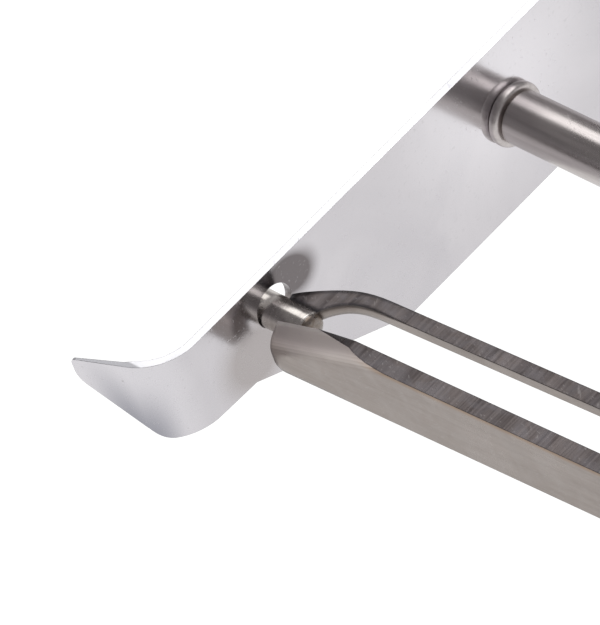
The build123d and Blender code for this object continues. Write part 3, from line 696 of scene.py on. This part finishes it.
def bead(name, start, end, radius, count, flat=(1.0, 1.0, 1.0)):
    """A row of overlapping balls from one point to another, given in millimetres."""
    for side, suffix in ((1, "right"), (-1, "left")):
        balls = bmesh.new()
        for index in range(count):
            share = index / max(count - 1, 1)
            middle = at(*start).lerp(at(*end), share)
            middle.y *= side
            swell = 1.0 + RIPPLE_SWELL * math.sin(RIPPLE_TURN * index)
            shape = Matrix.Diagonal((*[radius * MM * swell * f for f in flat], 1.0))
            bmesh.ops.create_uvsphere(
                balls, u_segments=20, v_segments=12, radius=1.0,
                matrix=Matrix.Translation(middle) @ shape,
            )
        for polygon in balls.faces:
            polygon.smooth = True
        piece = add_piece(f"{name}_{suffix}", balls, "weld_metal")
        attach(piece, "frame")


bead("pin_end_weld", (5.4, -36.0, 4.5), (5.4, -36.0, 4.5), 1.75, 1, (0.34, 1.0, 1.0))
bead("rail_weld", (3.2, -37.45, 2.9), (5.4, -37.35, 2.9), 0.5, 6)
bead("guide_weld", (2.4, -34.75, 4.05), (5.0, -34.7, 4.05), 0.42, 7)
print("weld beads made")

# %% [markdown]
# ## Ribs on the finger pads
#
# Ribs moulded across a pad stop wet fingers from slipping. Each rib here is a thin rounded
# bar, and the row follows the pad's own box and the curve of its back. As placed, the ribs
# lie under the flat front of the pad, so they don't show: they would have to be moved
# forwards to be seen.

# %% Pad ribs
RIB_COUNT = 7
RIB_R = 0.45 * MM
RIB_SINK = 0.02 * MM
RIBBED_WIDTH = 0.78  # share of the pad's width that carries ribs
RIB_HEIGHT = 0.9  # share of the pad's height

for side in ("left", "right"):
    low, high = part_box(f"finger_pad_{side}")
    middle = (low + high) / 2
    half = (high.y - low.y) / 2
    depth = high.x - low.x
    curve_r = (half * half + depth * depth) / (2 * depth)
    rib_shape = bmesh.new()
    for index in range(RIB_COUNT):
        across = (index - (RIB_COUNT - 1) / 2) * 2 * half * RIBBED_WIDTH / (RIB_COUNT - 1)
        sag = curve_r - math.sqrt(curve_r * curve_r - across * across)
        shape = Matrix.Diagonal((RIB_R, RIB_R, (high.z - low.z) / 2 * RIB_HEIGHT, 1.0))
        rib_middle = Vector((low.x + sag - RIB_SINK, middle.y + across, middle.z))
        bmesh.ops.create_uvsphere(
            rib_shape, u_segments=16, v_segments=14, radius=1.0,
            matrix=Matrix.Translation(rib_middle) @ shape,
        )
    ribs = add_piece(f"pad_ribs_{side}", rib_shape, "pad_rubber")
    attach(ribs, "trigger")
print("ribs on both pads:", RIB_COUNT)

# %% [markdown]
# ## The return spring
#
# A real compression spring has a closed coil at each end, so that it stands square, and its open coils
# close up evenly when it is pressed. This one is drawn as a tube that is swept round the shaft. It
# stands in for the plain coil of the model.

# %% Spring sizes
WIRE_R = 0.55 * MM
TURNS = 8
STEPS_PER_TURN = 30
WIRE_SIDES = 14
spring_low, spring_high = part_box("return_spring")
spring_length = spring_high.x - spring_low.x
coil_r = (spring_high.y - spring_low.y) / 2 - WIRE_R
closed_lead = 2.1 * WIRE_R  # a closed coil climbs a little more than the wire is thick
open_lead = (spring_length - 2 * WIRE_R - 2 * closed_lead) / (TURNS - 2)


def lead_at(turn):
    """How far along the axis the wire has climbed after so many turns."""
    opened = min(max(turn - 1.0, 0.0), TURNS - 2.0)
    return closed_lead * (turn - opened) + open_lead * opened


print("spring", round(spring_length, 5), "long, open coils", round(open_lead, 5), "apart")

# %% [markdown]
# ## The spring's wire
#
# The wire is swept by hand: a ring of points is set round the wire at each step, and each
# ring is joined to the one before it. The two ends are closed with a flat face.

# %% Spring wire
coil = bmesh.new()
previous = None
for step in range(TURNS * STEPS_PER_TURN + 1):
    turn = step / STEPS_PER_TURN
    angle = turn * math.tau
    outward = Vector((0.0, math.cos(angle), math.sin(angle)))
    on_axis = Vector((spring_low.x + WIRE_R + lead_at(turn), 0.0, PLATE_FACE.z))
    middle = on_axis + outward * coil_r
    ring = []
    for index in range(WIRE_SIDES):
        around = index * math.tau / WIRE_SIDES
        lean = Vector((math.sin(around), 0.0, 0.0)) + outward * math.cos(around)
        ring.append(coil.verts.new(middle + lean * WIRE_R))
    if previous:
        for index in range(WIRE_SIDES):
            after = (index + 1) % WIRE_SIDES
            side = coil.faces.new((previous[index], ring[index], ring[after], previous[after]))
            side.smooth = True
    else:
        coil.faces.new(ring)
    previous = ring
coil.faces.new(reversed(previous))
bmesh.ops.recalc_face_normals(coil, faces=coil.faces)
spring = add_piece("coiled_spring", coil, "spring_steel")
print("spring faces:", len(spring.data.polygons))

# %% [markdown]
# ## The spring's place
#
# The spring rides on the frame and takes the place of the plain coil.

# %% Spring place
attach(spring, "frame")
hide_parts("return_spring")
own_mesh(spring)

# %% [markdown]
# ## Dressing the pieces
#
# Each piece in the model names the finish that it takes. The names are the same as the
# materials above, so one loop hands every piece its material.

# %% Hand out the finishes
for part in frame["record"]["subparts"]:
    piece = nodes[part["node"]]
    piece.data.materials.clear()
    piece.data.materials.append(finishes[part["material_slot"]])

# %% [markdown]
# ## Studio: a light table
#
# Small bright tools are often shot on a lit white table, because polished steel shows
# whatever surrounds it. The table glows, so shadows on it almost vanish, and its light
# fills every face that looks down. One long soft panel above, parallel to the shaft, gives
# the highlight along it. The walls are pale near the floor and darker higher up, and that
# dark part is what gives round bars their dark band.

# %% Light table
TABLE_SIZE = 6.0
TABLE_DROP = 0.02 * MM

bpy.ops.mesh.primitive_plane_add(size=TABLE_SIZE, location=(0.0, 0.0, -TABLE_DROP))
table = bpy.context.object
table.name = "light_table"
table_material = bpy.data.materials.new("table_glow")
table_material.use_nodes = True
surface = table_material.node_tree.nodes["Principled BSDF"]
surface.inputs["Base Color"].default_value = (0.12, 0.12, 0.12, 1)
surface.inputs["Roughness"].default_value = 0.9
surface.inputs["Specular IOR Level"].default_value = 0.0
surface.inputs["Emission Color"].default_value = (1.0, 1.0, 1.0, 1)
surface.inputs["Emission Strength"].default_value = 1.0
table.data.materials.append(table_material)
print("table under the tool")

# %% [markdown]
# ## Studio: one panel and the room
#
# The panel hangs to the tool's left and above it, and it is longest along the shaft. The
# room is a world whose tone depends only on how high one looks.

# %% Panel and room
PANEL_TOWARD = (0.0, 0.48, 0.877)
PANEL_DISTANCE = 0.9
PANEL_LONG, PANEL_WIDE = 1.7, 0.66
PANEL_POWER = 7.0
WALL_FOOT, WALL_TOP = 0.0, 0.45
WALL_PALE, WALL_DARK = (0.72, 0.71, 0.725, 1), (0.24, 0.23, 0.235, 1)

panel = bpy.data.lights.new("key_panel", "AREA")
panel.shape = "RECTANGLE"
panel.size, panel.size_y = PANEL_LONG, PANEL_WIDE
panel.energy = PANEL_POWER
light = bpy.data.objects.new("key_panel", panel)
toward = Vector(PANEL_TOWARD).normalized()
light.location = PLATE_FACE + toward * PANEL_DISTANCE
light.rotation_euler = toward.to_track_quat("Z", "Y").to_euler()
scene.collection.objects.link(light)

room = bpy.data.worlds.new("dim_room")
room.use_nodes = True
tree = room.node_tree
looking = put(tree, "ShaderNodeSeparateXYZ", {0: put(tree, "ShaderNodeTexCoord").outputs["Generated"]})
walls = mix(tree, span(tree, looking.outputs["Z"], WALL_FOOT, WALL_TOP), WALL_PALE, WALL_DARK)
tree.links.new(walls, tree.nodes["Background"].inputs["Color"])
tree.nodes["Background"].inputs["Strength"].default_value = 1.0
scene.world = room
print("studio ready")
